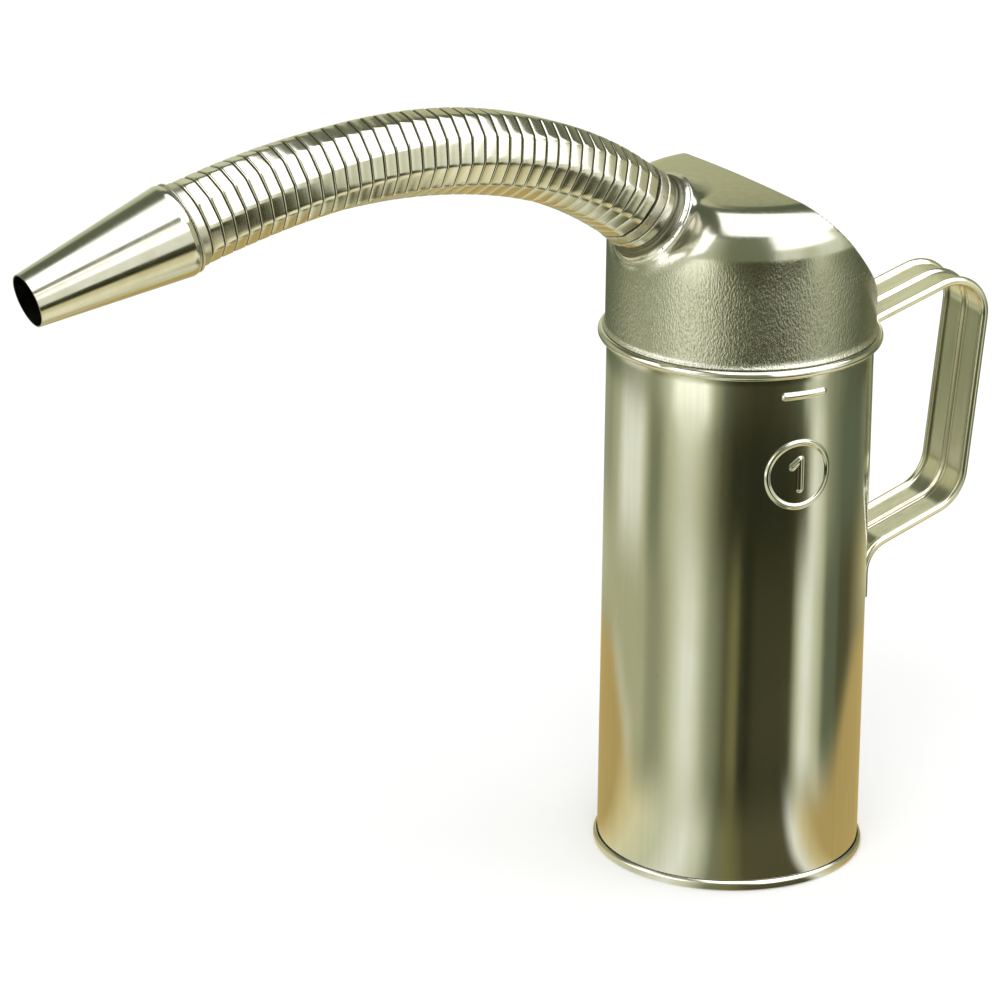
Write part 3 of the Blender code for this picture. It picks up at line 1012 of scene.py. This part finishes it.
class JUG_OT_nozzle(bpy.types.Operator):
    """Lap-seamed nozzle on the sleeve that hooks over the last turn"""

    bl_idname = "jug.nozzle"
    bl_label = "Nozzle"

    def execute(self, context):
        sizes, colours = settings(context)
        matrix = spout_frame(*spout_places(sizes)[-1])
        tin = metal("nozzle tinplate", colours.tin, colours.tin_stain)
        sleeve = metal("end sleeve tinplate", colours.end_tin, colours.tin_stain)
        solder = metal("nozzle solder", colours.solder, colours.tin_stain)
        sheet = sizes.sheet
        start = turn_gap / 2
        hook_top = sizes.turn_radius - sheet - strip_play
        inside = hook_top + strip_play
        outline = [
            (inside + sheet, start),
            (inside + sheet, start + end_sleeve_length),
            (inside, start + end_sleeve_length),
            (inside, start + sheet),
            (hook_top - lip_depth, start),
        ]
        builder = turned(eased(outline, 0.00015, 3), 96)
        finish_piece("last_sleeve", builder, sleeve, "nozzle", ["nozzle_sleeve"], matrix)
        collar = sizes.turn_radius + clearance
        wide = cone_start
        end = cone_start + cone_length
        fall = (cone_radius - mouth_radius) / cone_length
        shoulder = [
            (collar, wide - shoulder_length),
            (collar + sheet, wide - shoulder_length),
            (cone_radius - sheet * 0.75, wide - shoulder_length * 0.75),
            (cone_radius - sheet * 0.25, wide - shoulder_length * 0.40),
            (cone_radius, wide),
        ]
        body = [
            (
                cone_radius + (mouth_radius - cone_radius) * step / cone_rows,
                wide + cone_length * step / cone_rows,
            )
            for step in range(1, cone_rows + 1)
        ]
        inner = [
            (mouth_radius - sheet, end),
            (cone_radius - sheet - fall * sheet, wide + sheet),
            (collar, wide),
        ]
        builder = turned(shoulder + body + inner, 180, phase=lap_turn)
        # The first two columns of points past the seam close up into a step and a groove
        for point in builder.verts:
            past = math.remainder(math.atan2(point.co.y, point.co.x) - lap_turn, full_turn)
            if math.radians(1) < past < math.radians(3):
                pull = Matrix.Rotation(lap_groove - past, 3, "Z")
                point.co = pull @ point.co
        for point in builder.verts:
            away = math.hypot(point.co.x, point.co.y)
            line = cone_radius + (mouth_radius - cone_radius) * (point.co.z - wide) / cone_length
            if point.co.z > wide - sheet and away > line - sheet / 2:
                widened(point, 1 + lap_rise(sizes, math.atan2(point.co.y, point.co.x)) / away)
        finish_piece("nozzle_skin", builder, tin, "nozzle", ["nozzle_cone"], matrix, sharp=28)
        edge = wide - shoulder_length - clearance
        centre = (sizes.turn_radius + clearance + nozzle_solder_radius, edge - nozzle_solder_radius)
        outline = arc(centre, nozzle_solder_radius, 0, full_turn, 10)[:-1]
        builder = turned(outline, 96)
        finish_piece("nozzle_fillet", builder, solder, "nozzle", ["nozzle_solder"], matrix)
        return {"FINISHED"}


# Handle
strap_spacing = 0.003
strap_bend_steps = 16


def bent_path(corners, radii, spacing, bend_steps):
    """Points and headings along straight runs joined by round bends."""
    headings = [
        math.atan2(after[1] - before[1], after[0] - before[0])
        for before, after in zip(corners, corners[1:])
    ]
    stations = [(corners[0], headings[0])]

    def run_to(point, heading):
        start = Vector(stations[-1][0])
        steps = max(1, round((Vector(point) - start).length / spacing))
        for step in range(1, steps + 1):
            stations.append((tuple(start.lerp(Vector(point), step / steps)), heading))

    for corner, radius, before, after in zip(corners[1:-1], radii, headings, headings[1:]):
        turn = math.remainder(after - before, full_turn)
        tangent = radius * math.tan(abs(turn) / 2)
        side = math.copysign(1, turn)
        start = (corner[0] - tangent * math.cos(before), corner[1] - tangent * math.sin(before))
        centre = (
            start[0] - side * radius * math.sin(before),
            start[1] + side * radius * math.cos(before),
        )
        run_to(start, before)
        for step in range(1, bend_steps + 1):
            heading = before + turn * step / bend_steps
            point = (
                centre[0] + side * radius * math.sin(heading),
                centre[1] - side * radius * math.cos(heading),
            )
            stations.append((point, heading))
    run_to(corners[-1], headings[-1])
    return stations


def strap_section(sizes):
    """Closed section of the strap, as (across, outward) points."""
    edge_centre = sizes.strap_width / 2 - strap_edge_radius
    half = strap_sheet / 2
    meet = math.asin(half / strap_edge_radius)
    left = arc((-edge_centre, 0), strap_edge_radius, meet, full_turn - meet, 16)
    right = arc((edge_centre, 0), strap_edge_radius, meet - math.pi, math.pi - meet, 16)
    rib = []
    for step in range(-6, 7):
        across = rib_width / 2 * step / 6
        rib.append((across, rib_height * math.cos(math.pi * step / 12) ** 1.2 if abs(step) < 6 else 0.0))
    # Points close beside the rib and the edges keep the shading of the flats even
    flat_end = edge_centre - strap_edge_radius - 0.0003
    for side in (1, -1):
        flat = [(side * (rib_width / 2 + 0.0004), 0.0), (side * flat_end, 0.0)]
        rib = rib + flat if side > 0 else flat[::-1] + rib
    inner = [(across, height - half) for across, height in rib]
    outer = [(across, height + half) for across, height in reversed(rib)]
    return left + inner + right + outer


class JUG_OT_handle(bpy.types.Operator):
    """Strap handle with rolled edges and a pressed rib"""

    bl_idname = "jug.handle"
    bl_label = "Handle"

    def execute(self, context):
        sizes, colours = settings(context)
        edge_y = sizes.strap_width / 2 - strap_edge_radius
        edge_seat = math.sqrt((sizes.body_radius + clearance + strap_edge_radius) ** 2 - edge_y**2)
        tab_x = max(edge_seat, sizes.body_radius + clearance + strap_sheet / 2)
        root = (sizes.body_radius - strap_root_inset, sizes.rim_height - strap_root_drop)
        top_x = sizes.body_radius + grip_reach
        top_z = root[1] + (top_x - root[0]) * math.tan(arm_slope)
        foot_x = top_x - grip_length * math.sin(grip_lean)
        foot_z = top_z - grip_length * math.cos(grip_lean)
        tab_corner_z = foot_z - (foot_x - tab_x) * math.tan(lower_arm_slope)
        corners = [
            root,
            (top_x, top_z),
            (foot_x, foot_z),
            (tab_x, tab_corner_z),
            (tab_x, tab_corner_z - tab_length),
        ]
        stations = bent_path(corners, bend_radii, strap_spacing, strap_bend_steps)
        section = strap_section(sizes)
        reach = bead_centre(sizes)[0] + sizes.bead_radius + clearance
        builder = bmesh.new()
        (x, z), heading = stations[0]
        points = [
            builder.verts.new((x - lift * math.sin(heading), across, z + lift * math.cos(heading)))
            for across, lift in section
        ]
        edges = [builder.edges.new((points[index - 1], points[index])) for index in range(len(points))]
        for (before, before_heading), (after, after_heading) in zip(stations, stations[1:]):
            swept = bmesh.ops.extrude_edge_only(builder, edges=edges)["geom"]
            moved = [item for item in swept if isinstance(item, bmesh.types.BMVert)]
            edges = [item for item in swept if isinstance(item, bmesh.types.BMEdge)]
            edges = [edge for edge in edges if all(point in moved for point in edge.verts)]
            pivot = Vector((before[0], 0, before[1]))
            turn = Matrix.Rotation(before_heading - after_heading, 4, "Y")
            shift = Matrix.Translation((after[0], 0, after[1])) @ turn @ Matrix.Translation(-pivot)
            bmesh.ops.transform(builder, matrix=shift, verts=moved)
        # The first end is closed, then the last
        rim = [edge for edge in builder.edges if edge.is_boundary]
        first_rim = [edge for edge in rim if all(point in points for point in edge.verts)]
        bmesh.ops.contextual_create(builder, geom=first_rim)
        bmesh.ops.contextual_create(builder, geom=[edge for edge in builder.edges if edge.is_boundary])
        # The top end is shaped to the rim's bead
        for point in builder.verts:
            high = point.co.z > sizes.rim_height - sizes.strap_width
            if high and math.hypot(point.co.x, point.co.y) < reach:
                point.co.x = math.sqrt(reach**2 - point.co.y**2)
        bmesh.ops.remove_doubles(builder, verts=builder.verts, dist=1e-6)
        bmesh.ops.dissolve_degenerate(builder, dist=1e-7, edges=builder.edges)
        material = metal("handle tinplate", colours.handle_tin, colours.tin_stain)
        finish_piece("handle", builder, material, "jug", ["handle_strap"])
        return {"FINISHED"}


# Stage
camera_place = Vector((-0.9953, -1.5684, 0.8168))
camera_turn = math.radians(-30)
camera_rise = math.radians(20.58)
camera_roll = math.radians(0.73)
camera_lens = 216.4
camera_film = 36.0
floor_half = 6.0
lamps = (("key softbox", (-0.9, -1.0, 1.5), 1.2, 10.0), ("fill softbox", (1.3, -0.6, 1.2), 1.4, 4.0))
lamp_aim = Vector((-0.05, 0, 0.12))

# Tones of the room that the metal reflects
gold = (0.53, 0.40, 0.15)
pale_gold = (0.74, 0.64, 0.34)
silver = (0.68, 0.71, 0.52)
bright = (0.95, 0.97, 0.84)
grey = (0.33, 0.35, 0.22)
grey_green = (0.22, 0.24, 0.145)
olive = (0.21, 0.20, 0.08)
green = (0.13, 0.155, 0.095)
bronze = (0.095, 0.090, 0.042)
dark = (0.026, 0.028, 0.013)
deep_green = (0.130, 0.150, 0.095)
umber = (0.058, 0.056, 0.024)
pewter = (0.49, 0.50, 0.31)
roof_olive = (0.58, 0.58, 0.36)
cream = (0.82, 0.78, 0.50)
ivory = (1.00, 0.96, 0.70)
tan = (0.50, 0.44, 0.22)
glare = (1.50, 1.52, 1.30)
panel = (2.30, 2.30, 2.25)

# The light panels: the turns in degrees and the heights between which each wall panel stands, and
# how far the ceiling panel reaches across and toward the camera at a height of one
left_panel_turns = (-97.0, -37.0)
left_panel_heights = (0.10, 0.75)
right_panel_turns = (26.0, 82.0)
right_panel_heights = (0.24, 0.72)
ceiling_across = (-0.28, 1.60)
ceiling_toward = (-0.52, 0.80)

# Where zones of the room begin, each from none to full: by depth below level, by height, and by the
# turn in degrees, past which it is dark behind the jug
low_start = (0.22, 0.33)
steep_start = (0.42, 0.62)
wall_top = (0.42, 0.50)
room_top = (0.62, 0.72)
dark_left_turns = (-157.0, -101.0)
dark_right_start = (90.0, 112.0)

# Zones of the floor by distance from the jug; the warm table reaches farther at the rear
table_edge = (0.080, 0.160)
rear_reach = 0.11
rear_start = (0.20, 0.36)
surround_start = (0.28, 0.40)
rim_start = (0.485, 0.515)
surround_end = (0.90, 1.10)

# Tones by the turn in degrees from the camera, growing toward the photograph's right: on the table
# close to the jug, farther out and at the table's rim, in the lower half of the room at a low and a
# steep angle, and on the walls
near_tones = (
    (-180, pewter), (-168, pale_gold), (-152, gold), (-100, gold), (-84, pale_gold),
    (-70, cream), (-48, silver), (-30, bright), (-20, silver), (-11, grey_green), (-2, olive),
    (8, bronze), (36, bronze), (42, bright), (51, pale_gold), (62, gold), (150, gold),
    (168, pale_gold), (180, pewter),
)
outer_tones = (
    (-180, grey), (-140, grey), (-124, pewter), (-112, bright), (-90, bright), (-83, pewter),
    (-78, grey_green), (-70, grey_green), (-62, pewter), (-48, silver), (-40, silver),
    (-31, pewter), (-22, grey_green), (-14, bronze), (-4, dark), (42, dark), (52, umber),
    (58, bronze), (62, silver), (67, bright), (74, silver), (80, grey), (88, grey_green),
    (98, green), (122, green), (134, grey_green), (150, green), (180, grey),
)
rim_tones = (
    (-180, green), (-142, green), (-118, grey_green), (-97, grey), (-74, grey), (-62, silver),
    (-52, glare), (-30, glare), (-21, pewter), (-12, green), (-3, bronze), (10, umber),
    (25, umber), (40, bronze), (52, green), (57, silver), (68, silver), (78, grey),
    (102, green), (134, bronze), (180, green),
)
far_tones = (
    (-180, silver), (-165, pewter), (-88, pewter), (-80, grey), (-70, grey), (-62, pewter),
    (-54, silver), (-45, bright), (-38, bright), (-31, silver), (-23, grey), (-15, grey_green),
    (-8, bronze), (-2, olive), (2, olive), (5, dark), (12, dark), (18, umber), (50, umber),
    (54, grey), (58, silver), (62, bright), (68, bright), (74, silver), (81, pewter),
    (86, green), (100, green), (104, bronze), (118, bronze), (150, tan), (180, silver),
)
steep_tones = (
    (-180, pewter), (-150, tan), (-135, cream), (-60, cream), (-35, silver), (0, silver),
    (18, pewter), (38, pewter), (48, pale_gold), (62, cream), (72, ivory), (105, ivory),
    (120, pale_gold), (180, pewter),
)
wall_tones = (
    (-180, roof_olive), (-165, silver), (-150, grey), (-125, pewter), (-100, pewter),
    (-80, silver), (-55, bright), (-30, silver), (-15, grey_green), (22, grey_green),
    (28, bright), (44, bright), (52, silver), (58, silver), (66, bright), (85, bright),
    (95, pewter), (112, pewter), (122, grey_green), (145, grey_green), (165, grey),
    (180, roof_olive),
)


def seen_from_camera(east, north):
    """Shares of a direction or place to the photograph's right and toward the camera."""
    right = Vector((math.cos(camera_turn), math.sin(camera_turn)))
    back = Vector((math.sin(camera_turn), -math.cos(camera_turn)))
    return east * right.x + north * right.y, east * back.x + north * back.y


def turn_from_camera(east, north):
    """Share of a full turn round the jug, 0.5 toward the camera."""
    sideways, toward = seen_from_camera(east, north)
    return sideways.maths("ARCTAN2", sideways, toward) / full_turn + 0.5


def toned(board, turn, tones):
    """Colour at a turn from the camera."""
    stops = tuple((angle / 360 + 0.5, tone) for angle, tone in tones)
    return board.node("ValToRGB", {"interpolation_type": "LINEAR", "stops": stops}, {0: turn})


def make_world(context):
    """White to the camera, and the room to the metal."""
    world = bpy.data.worlds.new("studio")
    context.scene.world = world
    world.use_nodes = True
    board = Board(world.node_tree)
    background = world.node_tree.nodes["Background"]
    output = world.node_tree.nodes["World Output"]
    heading = board.node("TexCoord", None, None, "Generated")
    east, north, height = board.split(heading)
    turn = turn_from_camera(east, north)
    sideways, toward = seen_from_camera(east, north)
    degrees = (turn - 0.5) * 360.0
    # Below level the walls give way to low tones, and those to steep ones
    depth = 0.0 - height
    low = toned(board, turn, far_tones)
    low = board.mixed(board.step(depth, *steep_start), low, toned(board, turn, steep_tones))
    tones = board.mixed(board.step(depth, *low_start), toned(board, turn, wall_tones), low)
    # Above the walls the room is dark green, but for the light panels
    behind = between(board, degrees, *dark_left_turns, 6.0) + board.step(degrees, *dark_right_start)
    over = board.step(height, *wall_top) * behind
    over = over.maths("MAXIMUM", over, board.step(height, *room_top))
    tones = board.mixed(over, tones, deep_green)
    left = between(board, degrees, *left_panel_turns, 3.0)
    left = left * between(board, height, *left_panel_heights, 0.05)
    right = between(board, degrees, *right_panel_turns, 3.0)
    right = right * between(board, height, *right_panel_heights, 0.03)
    level = height.maths("MAXIMUM", height, 0.05)
    ceiling = between(board, sideways / level, *ceiling_across, 0.05)
    ceiling = ceiling * between(board, toward / level, *ceiling_toward, 0.05)
    light = left.maths("MAXIMUM", left.maths("MAXIMUM", left, right), ceiling)
    tones = board.mixed(light, tones, panel)
    glossy = board.node("LightPath", None, None, "Is Glossy Ray")
    board.feed(background.inputs["Color"], board.mixed(glossy, (1.0, 1.0, 1.0), tones))
    background.inputs["Strength"].default_value = 1.0
    world.node_tree.links.new(background.outputs[0], output.inputs[0])


def make_floor_material(colour):
    """Pale floor, which the metal sees as a warm table with a surround and a rim."""
    material, board, shader = start_material("studio floor")
    place = board.node("TexCoord", None, None, "Object")
    grain = board.speckle(place, (3.0, 3.0, 3.0))
    board.feed(shader.inputs["Base Color"], board.mixed(grain * 0.02, colour, (1.0, 1.0, 1.0)))
    shader.inputs["Roughness"].default_value = 0.8
    east, north, _ = board.split(place)
    away = (east * east + north * north) ** 0.5
    turn = turn_from_camera(east, north)
    rear = board.step(turn.maths("ABSOLUTE", turn - 0.5), *rear_start)
    warm = 1.0 - board.step(away - rear * rear_reach, *table_edge)
    outer = board.step(away, *surround_start) * (1.0 - board.step(away, *surround_end))
    tones = toned(board, turn, outer_tones)
    tones = board.mixed(board.step(away, *rim_start), tones, toned(board, turn, rim_tones))
    tones = board.mixed(warm, tones, toned(board, turn, near_tones))
    # Between the table and its surround, and past the rim, reflections pass through to the room
    lamp = board.node("Emission", None, {"Color": tones})
    through = board.node("BsdfTransparent")
    shown = warm.maths("MAXIMUM", warm, outer)
    seen = board.node("MixShader", None, {0: shown, 1: through, 2: lamp})
    glossy = board.node("LightPath", None, None, "Is Glossy Ray")
    mix = board.node("MixShader", None, {0: glossy, 1: Wire(board, shader.outputs[0]), 2: seen})
    board.feed(material.node_tree.nodes["Material Output"].inputs["Surface"], mix)
    return material


class JUG_OT_stage(bpy.types.Operator):
    """Pale floor, soft light and the camera"""

    bl_idname = "jug.stage"
    bl_label = "Stage"

    def execute(self, context):
        scene = context.scene
        colours = scene.jug_colours
        scene.view_settings.view_transform = "Standard"
        make_world(context)
        builder = bmesh.new()
        bmesh.ops.create_grid(builder, x_segments=2, y_segments=2, size=floor_half)
        mesh = bpy.data.meshes.new("floor")
        builder.to_mesh(mesh)
        builder.free()
        floor = bpy.data.objects.new("floor", mesh)
        scene.collection.objects.link(floor)
        mesh.materials.append(make_floor_material(colours.floor))
        for name, place, size, power in lamps:
            lamp = bpy.data.lights.new(name, "AREA")
            lamp.shape = "SQUARE"
            lamp.size = size
            lamp.energy = power
            item = bpy.data.objects.new(name, lamp)
            item.location = place
            item.visible_glossy = False
            item.rotation_euler = (lamp_aim - Vector(place)).to_track_quat("-Z", "Y").to_euler()
            scene.collection.objects.link(item)
        lens = bpy.data.cameras.new("camera")
        lens.sensor_width = camera_film
        lens.lens = camera_lens
        lens.clip_start = 0.1
        lens.clip_end = 50.0
        camera = bpy.data.objects.new("camera", lens)
        level = math.cos(camera_rise)
        back = Vector(
            (math.sin(camera_turn) * level, -math.cos(camera_turn) * level, math.sin(camera_rise))
        )
        right = Vector((math.cos(camera_turn), math.sin(camera_turn), 0))
        up = back.cross(right)
        across = right * math.cos(camera_roll) + up * math.sin(camera_roll)
        upward = up * math.cos(camera_roll) - right * math.sin(camera_roll)
        turn = Matrix((across, upward, back)).transposed()
        camera.matrix_world = Matrix.Translation(camera_place) @ turn.to_4x4()
        scene.collection.objects.link(camera)
        scene.camera = camera
        return {"FINISHED"}


class JUG_PT_pieces(bpy.types.Panel):
    """Lists the jug's pieces, sizes and colours"""

    bl_label = "Measuring jug"
    bl_idname = "JUG_PT_pieces"
    bl_space_type = "VIEW_3D"
    bl_region_type = "UI"
    bl_category = "Jug"

    def draw(self, context):
        layout = self.layout
        for group in (context.scene.jug_sizes, context.scene.jug_colours):
            column = layout.column(align=True)
            for name in group.__annotations__:
                column.prop(group, name)
        column = layout.column(align=True)
        for operator in operators:
            column.operator(operator.bl_idname)


operators = (
    JUG_OT_body,
    JUG_OT_base,
    JUG_OT_hood,
    JUG_OT_neck,
    JUG_OT_spout,
    JUG_OT_nozzle,
    JUG_OT_handle,
    JUG_OT_stage,
)
classes = (JugSizes, JugColours, *operators, JUG_PT_pieces)


def register():
    for item in classes:
        bpy.utils.register_class(item)
    bpy.types.Scene.jug_sizes = bpy.props.PointerProperty(type=JugSizes)
    bpy.types.Scene.jug_colours = bpy.props.PointerProperty(type=JugColours)


def unregister():
    del bpy.types.Scene.jug_colours
    del bpy.types.Scene.jug_sizes
    for item in reversed(classes):
        bpy.utils.unregister_class(item)


def main():
    register()
    bpy.ops.jug.body()
    bpy.ops.jug.base()
    bpy.ops.jug.hood()
    bpy.ops.jug.neck()
    bpy.ops.jug.spout()
    bpy.ops.jug.nozzle()
    bpy.ops.jug.handle()
    bpy.ops.jug.stage()


if __name__ == "__main__":
    main()
